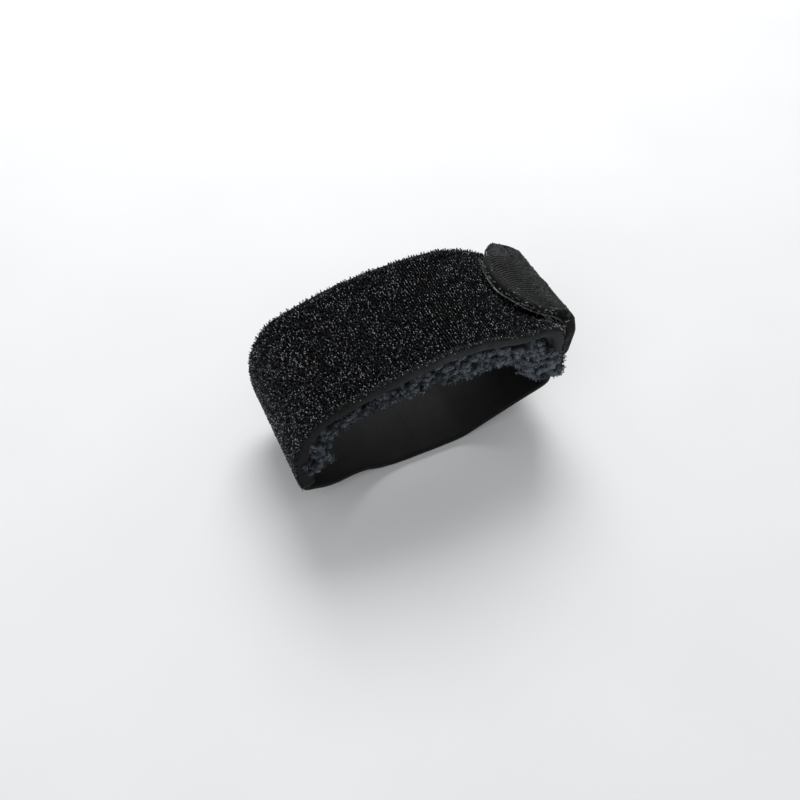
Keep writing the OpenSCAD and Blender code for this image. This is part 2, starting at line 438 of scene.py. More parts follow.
def threads(tree, pitches):
    """Height of a plain weave along the piece's own cloth lengths."""
    lengths = node(tree, "Attribute", {}, attribute_name="cloth").outputs["Vector"]
    axes = node(tree, "SeparateXYZ", {0: lengths}).outputs
    waves = [maths(tree, "SINE", times(tree, axis, 2 * math.pi / pitch))
             for axis, pitch in zip(axes, pitches)]
    return times(tree, *waves)


def dress(tree, shader, colour, height, depth):
    """Gives a shader its colour and raises its surface by height times depth millimetres."""
    bump = node(tree, "Bump", {"Height": height, "Distance": depth * MM})
    tree.links.new(bump.outputs["Normal"], shader.inputs["Normal"])
    tree.links.new(colour, shader.inputs["Base Color"])


def grey(value, blue=1.0):
    """A near-neutral colour, slightly towards blue where blue is above 1."""
    return (value, value * (1 + (blue - 1) * 0.4), value * blue)


def number(tree, name):
    """A number that the mesh carries."""
    return node(tree, "Attribute", {}, attribute_name=name).outputs["Fac"]


def toned(name, stops, roughness, specular, sheen=0.0, speck=0.35):
    """Fibre whose colour follows each strand's tone, with a little noise along it."""
    material, tree, shader = new_material(name, roughness, specular, sheen)
    colour = ramp(tree, number(tree, "tone"), stops)
    shade = ramp(tree, grain(tree, speck), [(0.3, grey(0.6)), (0.7, grey(1))])
    dress(tree, shader, multiply(tree, colour, shade), grain(tree, 0.06, 2), 0.02)
    return material


def cloth(name, dark, light, roughness, weave, depth, specular, sheen=0.0, patch=2.5,
          groove=False):
    """Woven or knit cloth; with the flag set, the piece's own number scales its colour from near
    black to three times as bright: painted shade and painted light, with some random tone.
    """
    material, tree, shader = new_material(name, roughness, specular, sheen)
    patches = maths(tree, "ADD", times(tree, grain(tree, patch), 0.5),
                    times(tree, grain(tree, 0.16), 0.5))
    base = ramp(tree, patches, [(0.36, dark), (0.64, light)])
    height = grain(tree, 0.12, 4)
    if weave:
        crossing = times(tree, threads(tree, weave), 0.5)
        height = maths(tree, "ADD", height, crossing)
        shade = ramp(tree, maths(tree, "ADD", crossing, 0.5), [(0.0, grey(0.62)), (0.6, grey(1))])
        base = multiply(tree, base, shade)
    if groove:
        # Painted shade and light: low numbers darken the colour nearly to black, high ones brighten
        # it.
        depths = [(0.0, grey(0.02)), (0.5, grey(0.9)), (1.0, grey(3.2))]
        base = multiply(tree, base, ramp(tree, number(tree, "groove"), depths))
    span = {"Value": grain(tree, 0.5), "To Min": roughness - 0.08, "To Max": roughness + 0.1}
    rough = node(tree, "MapRange", span).outputs["Result"]
    tree.links.new(rough, shader.inputs["Roughness"])
    dress(tree, shader, base, height, depth)
    return material


# Its top stop colours the pile's painted glints as well as pale hairs and lint.
PILE_LOOP = toned("pile_loop", [
    (0.0, grey(0.0008, 1.25)), (0.5, grey(0.013, 1.25)), (0.85, grey(0.055, 1.15)),
    (1.0, grey(0.85, 1.05))], 0.45, 0.12, speck=0.3)
PILE_GROUND = cloth("pile_ground", grey(0.0008), grey(0.003), 0.8, (0.62, 0.31), 0.08, 0.1)
BINDING = cloth("edge_binding", grey(0.009, 1.15), grey(0.019, 1.15), 0.75, (0.22, 0.22), 0.012,
                0.16, sheen=0.04, patch=3.5, groove=True)
FOAM = cloth("foam", grey(0.012), grey(0.03), 0.9, None, 0.06, 0.1, patch=0.5)
KNIT = cloth("knit", grey(0.01, 1.2), grey(0.022, 1.25), 0.8, (0.5, 0.35), 0.03, 0.15, sheen=0.2)
ELASTIC = cloth("ribbed_elastic", grey(0.0025, 1.05), grey(0.0065, 1.05), 0.65, (0.31, 0.62), 0.02,
                0.16, sheen=0.03)
TAB_FACE = cloth("tab_face", grey(0.009, 1.03), grey(0.021, 1.03), 0.7, (0.25, 0.25), 0.014,
                 0.18, sheen=0.1, patch=3.0, groove=True)
HOOK_TAPE = cloth("hook_tape", grey(0.005), grey(0.013), 0.6, (0.4, 0.4), 0.04, 0.2)
FLEECE_CURL = toned("fleece_curl", [
    (0.0, (0.005, 0.006, 0.008)), (0.4, (0.026, 0.031, 0.039)), (0.8, (0.120, 0.138, 0.163)),
    (1.0, (0.36, 0.39, 0.42))], 0.85, 0.1, sheen=0.15)
HOOK = toned("hook_nylon", [(0.0, grey(0.02)), (1.0, grey(0.08))], 0.3, 0.5)
THREAD = toned("sewing_thread", [(0.0, grey(0.004)), (1.0, grey(0.02))], 0.6, 0.3)
SELVEDGE = toned("selvedge", [(0.0, grey(0.06)), (0.5, grey(0.24)), (1.0, grey(0.55))], 0.6, 0.3)


def fleece_material():
    """Fleece ground: painted shade between its nubs and paler on top of them, following the mesh's
    nub number.
    """
    material, tree, shader = new_material("fleece_ground", 0.9, 0.1, 0.15)
    stops = [(0.0, (0.002, 0.003, 0.004)), (0.4, (0.017, 0.021, 0.026)),
             (1.0, (0.122, 0.141, 0.168))]
    colour = ramp(tree, number(tree, "nub"), stops)
    shade = ramp(tree, grain(tree, 0.3), [(0.3, (0.45, 0.47, 0.5)), (0.7, grey(1.25))])
    dress(tree, shader, multiply(tree, colour, shade), grain(tree, 0.22, 4), 0.12)
    return material


FLEECE = fleece_material()


# ---- the band

def band_layer(name, s, section, inset, look, stands_for, ripple=None):
    """One layer of the band, its edges inset from the outline."""
    mesh = sweep(name, band, s, section, lambda s: band_half(s, inset), ripple)
    add_piece(name, mesh, *look, "pad", [stands_for])


def make_band_layers():
    """The laminate under the pile: ground, foam, lining and the fleece's carrier."""
    whole = stations(0.35, band.length - 0.2, 0.5)
    upper = stations(band.where(1, FLEECE_FOOT_Z), band.length - 0.3, 0.5)
    foam_end = FACING_T + FOAM_T

    def wales(s, y):
        return 0.05 * np.sin(2 * np.pi * s / 0.62)

    band_layer("pile_ground", whole[1:], slab(0.5, FACING_T, 0.18, 60), 0.3,
               (PILE_GROUND, "loop_pile"), "pile_facing", wales)
    band_layer("foam_layer", whole, slab(FACING_T, foam_end, 0.3, 14), 0.9,
               (FOAM, "foam"), "foam_core")
    band_layer("lining", whole, slab(foam_end, LAMINATE_T, 0.2, 40), 0.9,
               (KNIT, "knit"), "band_lining")
    band_layer("fleece_ground_knit", upper, slab(LAMINATE_T, LAMINATE_T + CARRIER_T, 0.2, 40),
               FLEECE_SETBACK, (KNIT, "knit"), "fleece_carrier")


def rim(side, step=0.5):
    """The band's edge from its treble end to its bass-side foot, and the way out of it."""
    straight = stations(FOOT_ROUND, band.length - 0.1, step)[::-1]
    turn = np.radians(np.arange(9, 90, 9))
    foot = stations(0, HALF_W - FOOT_ROUND, step)[::-1]
    centre = HALF_W - FOOT_ROUND
    s = np.concatenate([straight, FOOT_ROUND - FOOT_ROUND * np.sin(turn), 0 * foot])
    y = np.concatenate([0 * straight + HALF_W, centre + FOOT_ROUND * np.cos(turn), foot])
    out_s = np.concatenate([0 * straight, -np.sin(turn), 0 * foot - 1])
    out_y = np.concatenate([0 * straight + 1, np.cos(turn), 0 * foot])
    return s, side * y, out_s, side * out_y


def edge_roll(name, side, stands_for):
    """The smooth binding turned round the laminate's cut edge."""
    s, y, out_s, out_y = (v[:, None] for v in rim(side))
    turn = circle(22)
    across = 0.80 * np.sign(np.cos(turn)) * abs(np.cos(turn)) ** 0.7
    deep = np.sign(np.sin(turn)) * abs(np.sin(turn)) ** 0.6
    foot = smooth((9.0 - s) / 6.0)
    swell = 0.10 * noise_on(s, y, 3.5, side) + 0.06 * noise_on(s, y, 1.1, side + 5)
    out = across - 0.62 + swell * 1.2
    depth = 1.62 + 0.15 * foot + deep * (1.22 + 0.35 * foot) + 0.8 * swell
    # Painted shade: the roll's number falls towards the bass-side foot, so it darkens to near black
    # there; the noise adds random tone.
    shade = 0.03 + 0.12 * smooth((s - 6) / 10) + 0.43 * smooth((s - 22) / 26)
    shade = shade + 0.10 * noise_on(s, y, 2.0, side + 9) + 0 * turn
    rows = band.place(s + out * out_s, y + out * out_y, depth)
    mesh = shell(name, rows, np.stack([s + 0 * out, depth, out], -1), shade)
    add_piece(name, mesh, BINDING, "binding", "pad", stands_for)


def end_roll():
    """The binding over the band's treble-side end, under the tab."""
    deep = (LAMINATE_T + CARRIER_T) / 2
    y = stations(-HALF_W + 1.6, HALF_W - 1.6, 0.6)[:, None]
    turn = circle(14)
    S = band.length - 0.45 + 0.55 * np.cos(turn) + 0 * y
    D = deep + (deep - 0.2) * np.sin(turn) + 0 * y
    Y = y + 0 * S
    mesh = shell("end_roll", band.place(S, Y, D), np.stack([Y, D, S], -1), 0.5 + 0 * S)
    add_piece("end_roll", mesh, BINDING, "binding", "pad", ["pad_end_binding"])


def omega(width, height, points):
    """A loop's line: how far sideways and how far up, for each of its points."""
    turn = np.radians(np.linspace(-62, 242, points))
    return width / 2 * np.cos(turn), height * (0.5 + 0.5 * np.sin(turn))


def pile_loops(name, start, end, seed, order):
    """Loops in knit rows between two lengths; order is how regular the rows are."""
    rng = np.random.default_rng(seed)
    rows = stations(start, end, LOOP_ROW)[:-1]
    columns = stations(-HALF_W + 0.1, HALF_W - 0.1, LOOP_PITCH)
    S, Y = np.meshgrid(rows, columns, indexing="ij")
    Y = Y + (np.arange(len(rows)) % 2)[:, None] * LOOP_PITCH / 2
    s, y = S.ravel(), Y.ravel()
    loose = 1.15 - order
    s = s + 0.35 * noise_on(s, y, 5.0, 40.0) + rng.normal(0, 0.22 * loose + 0.02, len(s))
    y = y + rng.normal(0, 0.1, len(s))
    inside = (abs(y) < band_half(np.maximum(s, 0.1)) - 0.02) & (s > 0.5) & (s < band.length - 0.3)
    s, y = s[inside, None], y[inside, None]
    tuft = 0.5 + 0.5 * noise_on(s, y, 1.8, seed)
    height = (0.34 + 0.22 * rng.random(s.shape)) * (0.8 + 0.4 * tuft)
    width = 0.30 + 0.16 * rng.random(s.shape)
    radius = 0.075 + 0.035 * rng.random(s.shape)
    way = rng.normal(np.pi / 2, 0.25 + 0.9 * loose, s.shape)
    sideways, up = omega(1.0, 1.0, 5)
    across, rise = width * sideways, height * up
    lean_s = rng.normal(0.0, 0.10 + 0.4 * loose, s.shape)
    edge = smooth((abs(y) - HALF_W + 0.8) / 0.8)
    lean_y = rng.normal(0, 0.35, s.shape) + 0.55 * np.sign(y) * edge
    S = s + across * np.cos(way) + rise * lean_s
    Y = y + across * np.sin(way) + rise * lean_y
    D = 0.50 - rise * (1 - 0.15 * edge) + 0.1 * edge
    tone = np.clip(rng.normal(0.57 - 0.11 * order, 0.24, s.shape) + 0.12 * (tuft - 0.5), 0, 0.85)
    # Painted glints: a share of loops, more where the pile is tufted, get the ramp's top colour as
    # highlights.
    painted_glints = rng.random(s.shape) < (0.37 - 0.11 * order) * (0.4 + 1.2 * tuft)
    tone[painted_glints] = 0.88 + 0.12 * rng.random(painted_glints.sum())
    radius[painted_glints] = 0.056
    # Painted highlight on each loop's top, painted shade towards its feet.
    crest_highlight = np.array([0.50, 0.86, 1.0, 0.86, 0.50])
    strand_piece(name, band.place(S, Y, D), radius, tone * crest_highlight, PILE_LOOP, "loop_pile", "pad")


def curl_lines(root, out, rng, reach, curl, points):
    """Short curled fibres that stand on root points along out directions."""
    side = unit(np.cross(out, rng.normal(size=out.shape)))
    t = np.linspace(0, 1, points)
    turn = curl[:, None] * t
    reach = reach[:, None]
    bend = 0.42 * reach
    steps = [reach * np.sin(2.1 * t), bend * (1 - np.cos(turn)), 0.8 * bend * np.sin(turn)]
    axes = np.stack([out, side, np.cross(out, side)], 1)
    return root[:, None] + np.stack(steps, -1) @ axes


def hairs(name, rng, root, out, spread, reach, curl, tone, radius, look, points=9):
    """Random curled hairs on root points, more or less along out.

    reach is the least, the most that is added and its power; curl is a range of angles;
    tone is a mean, a deviation and the least.
    """
    count = len(root)
    out = unit(out + rng.normal(0, spread, out.shape))
    reach = reach[0] + reach[1] * rng.random(count) ** reach[2]
    lines = curl_lines(root, out, rng, reach, rng.uniform(*curl, count), points)
    tone = np.clip(rng.normal(tone[0], tone[1], count), tone[2], 1)
    strand_piece(name, lines, radius, tone, *look)


def pile_fuzz():
    """Longer hairs that stand out of the pile, many along its near edge."""
    rng = np.random.default_rng(31)
    count, at_edge = 420, 170
    s = rng.uniform(1, band.length - 6, count)
    y = np.clip(rng.normal(0, 1.0, count), -1, 1) * (HALF_W - 0.4)
    y[:at_edge] = -HALF_W + 0.2 + 0.5 * rng.random(at_edge)
    keep = abs(y) < band_half(s) - 0.1
    s, y = s[keep], y[keep]
    root = band.place(s, y, 0.3)
    out = root - band.place(s, y, 1.3)
    out[:, 1] += 0.7 * np.sign(y) * smooth((abs(y) - HALF_W + 1.5) / 1.5)
    hairs("pile_fuzz", rng, root, out, 0.5, (0.18, 0.36, 2), (0.5, 3.5), (0.75, 0.15, 0), 0.03,
          (PILE_LOOP, "loop_pile", "pad"), points=8)


def make_pile():
    """The pile in four stretches, from the bass-side foot to the treble-side foot."""
    ends = [0.6, band.where(0, -22.0), band.where(0, 1.0), band.where(0, 19.0), band.length - 0.4]
    stretches = [("bass_wall", 0.6), ("crown_bass", 0.75), ("crown_treble", 1.0),
                 ("treble_wall", 0.85)]
    for i, (place, order) in enumerate(stretches):
        pile_loops("pile_loops_" + place, ends[i], ends[i + 1], 11 + i, order)
    pile_fuzz()


# ---- sewing

def stitches(name, place, a, y, h, way, length, radius, body, stands_for):
    """Short arcs whose ends go down into the cloth at a, y and the height or depth h.

    place gives their points, and way is their direction along the cloth.
    """
    centre = place(a, y, h)
    along = unit(place(a + 0.1 * way[0], y + 0.1 * way[1], h) - centre)
    out = unit(place(a, y, h + 0.1) - centre)
    t = np.linspace(-1, 1, 5)[:, None]
    lift = STITCH_RISE - (STITCH_RISE + STITCH_SINK) * t ** 2
    lines = centre[:, None] + along[:, None] * t * length / 2 + out[:, None] * lift
    tone = np.random.default_rng(len(lines)).random(len(lines))
    strand_piece(name, lines, radius, tone, THREAD, "thread", body, 6, [stands_for])


def band_seam(name, side, stands_for):
    """The seam in the crease between the binding and the fleece."""
    s = stations(band.where(1, 15.5), band.length - 1.5, 1.5)
    stitches(name, band.place, s, side * (HALF_W - 0.55), LAMINATE_T + 0.22, (1, 0), STITCH, 0.15,
             "pad", stands_for)


# ---- the fleece

def fleece_section():
    """Outline of the fleece in X and Z, under its carrier and round the neck."""
    start = band.where(1, FLEECE_FOOT_Z)
    s = stations(start, band.length - 0.4, 2.0)
    outer = level_band.place(s, 0.0, LAMINATE_T + CARRIER_T)[:, [0, 2]]
    foot = node_box("fleece_pad")[0][2]
    left, right = -23.55, 21.15
    inner = [(right + 2.2, foot + 2.6), (right + 0.4, foot + 3.2), (right, 21.5),
             (right - 1.3, 24.4), (right - 4, STRING_Z), (left + 4, STRING_Z),
             (left + 1.3, 24.4), (left, 21.5), (left - 0.2, 15.0)]
    return np.vstack([outer, inner])


def plain_object(name, points, faces, scale):
    """A bare mesh object, at its own scale."""
    mesh = bpy.data.meshes.new(name)
    mesh.from_pydata([tuple(scale * v for v in p) for p in points], [], faces)
    return link(name, mesh)


def applied(obj):
    """The object's mesh with its modifiers, as a new mesh."""
    graph = bpy.context.evaluated_depsgraph_get()
    return bpy.data.meshes.new_from_object(obj.evaluated_get(graph))


def vertex_array(mesh, what="co"):
    """A mesh's points, or another vector of each, as an array."""
    values = np.zeros(len(mesh.vertices) * 3)
    mesh.vertices.foreach_get(what, values)
    return values.reshape(-1, 3)


SIM_SCALE = 0.01                        # metres in the simulation for each millimetre


def inflate(obj, pinned, cap, frames=20):
    """Cloth with air pressure inside; no point moves further than cap millimetres."""
    group = obj.vertex_groups.new(name="pinned")
    group.add([int(i) for i in np.flatnonzero(pinned)], 1.0, "REPLACE")
    before = vertex_array(obj.data)
    air = obj.modifiers.new("air", "CLOTH")
    stiffness = {"tension": 12, "compression": 12, "shear": 5, "bending": 0.4}
    for kind, value in stiffness.items():
        setattr(air.settings, kind + "_stiffness", value)
    air.settings.quality = 5
    air.settings.mass = 0.3
    air.settings.use_pressure = True
    air.settings.uniform_pressure_force = 4
    air.settings.effector_weights.gravity = 0
    air.settings.vertex_group_mass = "pinned"
    air.point_cache.frame_start = 1
    air.point_cache.frame_end = frames
    for f in range(1, frames + 1):
        scene.frame_set(f)
    after = vertex_array(applied(obj))
    obj.modifiers.clear()
    scene.frame_set(1)
    move = (after - before) / SIM_SCALE
    far = np.linalg.norm(move, axis=1)
    move *= (np.minimum(far, cap) / (far + 1e-9))[:, None]
    obj.data.vertices.foreach_set("co", (before + move * SIM_SCALE).ravel())
    obj.data.update()


def fleece_solid():
    """The swollen fleece as millimetre points and faces."""
    section = fleece_section()
    half = HALF_W - FLEECE_SETBACK - 0.2
    n = len(section)
    near = np.insert(section, 1, -half, axis=1)
    faces = [tuple(range(n)), tuple(range(2 * n - 1, n - 1, -1))]
    faces += [(i, i + n, (i + 1) % n + n, (i + 1) % n) for i in range(n)]
    block = plain_object("fleece_block", np.vstack([near, near * [1, -1, 1]]), faces, SIM_SCALE)
    remesh = block.modifiers.new("voxels", "REMESH")
    remesh.mode = "VOXEL"
    remesh.voxel_size = 0.8 * SIM_SCALE
    block.data = applied(block)
    block.modifiers.clear()
    points = vertex_array(block.data) / SIM_SCALE
    inner = level_band.place(stations(0, band.length, 0.5), 0.0, 3.1)[:, [0, 2]]
    gap = np.min(np.linalg.norm(points[:, None, [0, 2]] - inner[None], axis=2), axis=1)
    inflate(block, (gap < 0.9) & (abs(points[:, 1]) < half - 0.8), cap=0.9)
    subdivide = block.modifiers.new("fine", "SUBSURF")
    subdivide.levels = subdivide.render_levels = 2
    mesh = applied(block)
    faces = np.array([tuple(p.vertices) for p in mesh.polygons])
    bpy.data.objects.remove(block)
    return vertex_array(mesh) / SIM_SCALE, [faces], vertex_array(mesh, "normal")


def fray(points):
    """Spreads the fleece past the band's edges, most at its treble end."""
    x, y, z = points.T
    near = smooth((-y - 8.5) / 3.6)
    far = smooth((y - 8.5) / 3.6)
    treble = smooth((x - 12) / 10)
    bass = smooth((-12 - x) / 10)
    low = smooth((27 - z) / 6)
    outer = smooth((x - 20.3) / 3.6)
    shoulder = smooth((x - 15) / 5) * smooth((z - 22) / 4)
    out_x = 5.0 * low * outer + 0.75 * bass * (x + 25.4) + 1.8 * shoulder
    out_y = far * (0.4 + 0.5 * treble) - near * (0.6 + 1.2 * treble + 1.1 * bass)
    up = 0.7 * smooth((8 - x) / 10) + 1.1 * treble * low + 1.5 * shoulder
    return settle(np.stack([x + near * out_x, y + out_y, z + near * up], -1))


def nubs_at(points, cell):
    """How far a point is up a nub, from 0 in a crevice to 1 on top."""
    warped = points + 0.5 * np.stack([noise_at(points, 1.7, k) for k in (11.0, 23.0, 37.0)], -1)
    nearest = np.array([noise.voronoi(Vector(p / cell), distance_metric="DISTANCE")[0][0]
                        for p in warped])
    return np.sqrt(np.clip(1 - (nearest / 0.74) ** 2, 0, 1))


def fleece_pad():
    """The fleece: simulated, frayed at its ends and covered in nubs. Gives its points."""
    points, faces, normals = fleece_solid()
    points = fray(points)
    nub = nubs_at(points, 1.55)
    lumps = noise_at(points, 3.2, 3.0)
    fine = noise_at(points, 0.5, 8.0)
    carried = np.where((abs(points[:, 1]) > HALF_W - 3.0) | (points[:, 2] < STRING_Z + 1.5), 1, 0.2)
    rise = (1.25 * nub - 0.82 + 0.4 * lumps + 0.22 * fine) * carried
    points = points + normals * rise[:, None]
    mesh = build_mesh("fleece_pad_soft", points, faces)
    # Painted light and shade: lit makes the fleece paler towards +X, and nub ** 1.7 paints shade
    # into the crevices between nubs.
    lit = 0.80 + 0.38 * smooth((points[:, 0] + 14) / 34)
    write_attribute(mesh, "nub", np.clip(lit * nub ** 1.7 * (1 + 0.3 * lumps) + 0.4 * fine, 0, 1))
    piece = add_piece("fleece_pad_soft", mesh, FLEECE, "fleece", "pad", ["fleece_pad"])
    return points, normals, nub


def fleece_curls(points, normals, nub):
    """Short curled fibres over the fleece's free faces, densest on its nubs."""
    rng = np.random.default_rng(44)
    count, parts = 15000, 3
    free = (abs(points[:, 1]) > HALF_W - 2.6) | (points[:, 2] < STRING_Z + 0.8)
    chosen = rng.choice(np.flatnonzero(free & (nub > 0.25)), count)
    root = points[chosen] + rng.normal(0, 0.10, (count, 3)) - 0.06 * normals[chosen]
    out = unit(normals[chosen] + rng.normal(0, 0.6, (count, 3)))
    reach = 0.20 + 0.30 * rng.random(count)
    lines = curl_lines(root, out, rng, reach, rng.uniform(2.5, 8.0, count), 6)
    # Painted light: curls are paler towards +X and on the nubs' tops.
    lit = 0.28 + 0.38 * smooth((root[:, 0] + 14) / 34)
    tone = np.clip(lit * nub[chosen] + rng.normal(0.04, 0.30, count), 0, 1)
    radius = 0.05 + 0.035 * rng.random(count)
    for i, part in enumerate(np.split(np.arange(count), parts)):
        strand_piece(f"fleece_curls_{i + 1}", lines[part], radius[part], tone[part],
                     FLEECE_CURL, "fleece", "pad")


# ---- the elastic

STRAP_MIDDLE = [
    (-27.2, 13.4), (-26.75, 12.0), (-26.45, 10.4), (-26.85, 9.25), (-27.75, 8.72),
    (-28.33, 8.2), (-27.95, 7.7), (-26.6, 7.25), (-20.5, 5.05), (-14.5, 2.85),
    (-10.6, 1.35), (-5.9, 0.62), (-1.0, 0.6), (3.9, 0.6), (9.0, 1.0),
    (13.2, 2.75), (21.0, 6.25), (26.6, 8.55), (28.4, 9.5), (29.08, 10.7), (29.1, 14.0),
    (29.1, ELASTIC_TOP),
]
strap_path = Path(spline(STRAP_MIDDLE, 16), outside=-1)


def elastic_ribs(s, y):
    """How far the elastic's ribs and its edge cords stand proud."""
    return 0.055 * abs(np.sin(np.pi * s / RIB)) + 0.05 * smooth((abs(y) - STRAP_HALF + 1.3) / 0.3)


def elastic_half(s):
    """Half the elastic's width, which is stretched wide under the bass side."""
    return STRAP_HALF + 2.4 * smooth((23.0 - s) / 13) * smooth((s - 2.5) / 3)


def elastic_length(name, start, end, tail):
    """One length of the elastic, which bends at a fold between two heights."""
    section = slab(-STRAP_T / 2 + 0.06, STRAP_T / 2 - 0.06, 0.4, 30)
    s = stations(start, end, RIB / 4)
    mesh = sweep(name, strap_path, s, section, elastic_half, elastic_ribs)
    piece = add_piece(name, mesh, ELASTIC, "elastic", None, [tail, "under_strap"])
    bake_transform(piece)


def make_strap():
    """The elastic in two lengths that meet under the neck, each over its own fold."""
    middle = round(strap_path.where(0, -1.0) / RIB) * RIB
    elastic_length("strap_bass", 0.0, middle, "strap_tongue")
    elastic_length("strap_treble", middle, strap_path.length,
                   "side_elastic")


# ---- the tab

FOLD_TURN = math.pi / 2 - TAB_RISE
FOLD_A = TAB_HALF_T * FOLD_TURN         # length of the fold along the outer face
WALL_A = TAB_FOOT - PIVOT[1]            # the wall's foot, below the fold
TIP_A = FOLD_A + TIP_U                  # the tip's centre
BLUNT = 0.28                            # how far the tip's far corner is rounded off
FACE_H = 0.25                           # height of the face's rim above the middle


def tab_place(a, y, h):
    """Points on the tab: a up and over from the fold, y along the neck, h outwards."""
    a, y, h = np.broadcast_arrays(a, y, h)
    turn = np.clip(a / TAB_HALF_T, 0, FOLD_TURN)
    wall = np.minimum(a, 0)
    flap = np.maximum(a - FOLD_A, 0)
    lean = 0.5 * smooth((-wall - 1.0) / 8)
    x = PIVOT[0] - lean + h * np.cos(turn) - flap * math.cos(TAB_RISE)
    z = PIVOT[1] + h * np.sin(turn) + wall + flap * math.sin(TAB_RISE)
    across = np.clip((y + HALF_W) / BAND_W, 0, 1)
    above = smooth((z - STRING_Z) / (PIVOT[1] - STRING_Z))
    return np.stack([x, y, z - 1.95 * across * above * (1 - smooth(flap / 10))], -1)


def tab_edges(a, grow=0.0):
    """The tab's near and far edge at a; grow widens its outline."""
    u = np.maximum(a - TIP_A, 0)
    chord = np.sqrt(np.maximum((TIP_R + grow) ** 2 - u ** 2, 0))
    shoulder = smooth((a + 3.0) / (3.0 + FOLD_A + 3.2))
    near_wall = TAB_NEAR - 0.1 + 2.2 * smooth((-7.5 - a) / 7) - grow
    near = near_wall + (TIP_Y - chord - near_wall) * shoulder
    corner = 1.35 * bell(a - FOLD_A / 2, 1.3)
    far_side = TAB_FAR + 0.45 * smooth(a / 4) + grow - corner
    far = -BLUNT * np.logaddexp(-far_side / BLUNT, -(TIP_Y + chord) / BLUNT)
    return near, np.maximum(far, near)


def rim_distance(a, y, grow=0.0):
    """How far inside the tab's outline a point lies."""
    near, far = tab_edges(a, grow)
    u = a - TIP_A
    round_gap = TIP_R + grow - np.hypot(np.maximum(u, 0), y - TIP_Y)
    side = np.minimum(y - near, far - y)
    inside = np.where(u > 0, np.minimum(round_gap, side), side)
    return np.maximum(np.minimum(inside, a - WALL_A), 0)


def tab_stations(start, end, step, grow=0.0):
    """Lengths along the tab, closer together towards the round tip."""
    if end <= TIP_A:
        return stations(start, end, step)
    r = TIP_R + grow
    straight = stations(start, TIP_A, step)[:-1] if start < TIP_A else []
    first = max(start - TIP_A, 0)
    turn = np.linspace(math.asin(first / r), math.pi / 2, int((r - first) / step) + 2)
    return np.concatenate([straight, TIP_A + r * np.sin(turn)])


def tab_panel(name, a, across, grow, top, bottom):
    """A closed panel of the tab, with a, y and the distance from the rim of each point."""
    near, far = (edge[:, None] for edge in tab_edges(a, grow))
    v = np.linspace(0, 1, across)
    v = v - 0.12 / np.pi * np.sin(2 * np.pi * v)
    A, Y = a[:, None] + 0 * v, near + (far - near) * v
    gap = rim_distance(A, Y, grow)
    gap[:, 0] = gap[:, -1] = 0
    faces = [tab_place(A, Y, height(A, Y, gap)) for height in (top, bottom)]
    lengths = np.stack([A, Y, gap], -1)
    both_sides = np.concatenate([lengths, lengths[:, ::-1]], 1)
    rows = np.concatenate([faces[0], faces[1][:, ::-1]], 1)
    return shell(name, rows, both_sides), both_sides.reshape(-1, 3).T


def over_the_fold(piece):
    """Bakes a piece's placement into its mesh."""
    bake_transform(piece)


def tip_share(a, y):
    """1 round the middle of the flap's tip, 0 along its sides."""
    return smooth((y + 5.0) / 3.5) * smooth((8.5 - y) / 2.5) * smooth((a - FOLD_A - 3) / 3)


def rib_zone(a, y, gap):
    """1 where the tab's face is ribbed, between its hem and its rim."""
    hem = smooth((a - FOLD_A - 3.0 - 0.12 * np.minimum(y + 1, 0)) / 0.5)
    return hem * smooth((gap - 0.75) / 0.5) * smooth((8.2 - y) / 1.6)


def tab_ribs(a, y):
    """The ribs' profile, from -1 to 1; they arch across the flap."""
    u = a - FOLD_A - 5.3
    return np.sin(2 * np.pi * (y + 0.055 * u * u - 0.02 * u) / 0.60)


def hem_mark(a, y):
    """1 in the hem's uneven needle marks, along the fold side of the ribs."""
    wander = 0.35 * noise_on(0, y, 1.6, 7.0)
    broken = smooth(0.6 + 1.3 * noise_on(0, y, 0.7, 15.0))
    line = bell(a - FOLD_A - 2.65 - wander, 0.27) * smooth((y + 3.2) / 0.4)
    slot = bell(a - FOLD_A - 1.4, 0.16) * np.exp(-((y + 3.3) / 0.55) ** 4)
    return np.maximum(line * broken * smooth((11.2 - y) / 0.5), slot)


def cover_top(a, y, gap):
    """Height of the tab's outer face: a rolled rim, a hem and ribs between them."""
    zone = rib_zone(a, y, gap)
    height = FACE_H + (TAB_HALF_T - FACE_H) * rounded(gap, 0.45 + 0.75 * tip_share(a, y))
    height = height - 0.08 * zone + 0.15 * zone * tab_ribs(a, y)
    hem = bell(a - FOLD_A - 2.7, 0.5) * smooth((gap - 0.8) / 0.4)
    swell = 0.16 * noise_on(a, y, 4.0, 2.0) + 0.07 * noise_on(a, y, 1.3, 6.0)
    return height - 0.10 * hem - 0.40 * hem_mark(a, y) + swell * smooth(gap / 1.2)


def cover_bottom(a, y, gap):
    """Height of the cover's inner side, which wraps right round the wall."""
    low = 0.05 - 1.05 * smooth((-1.0 - a) / 2.5)
    return FACE_H + (low - FACE_H) * rounded(gap, 0.9)


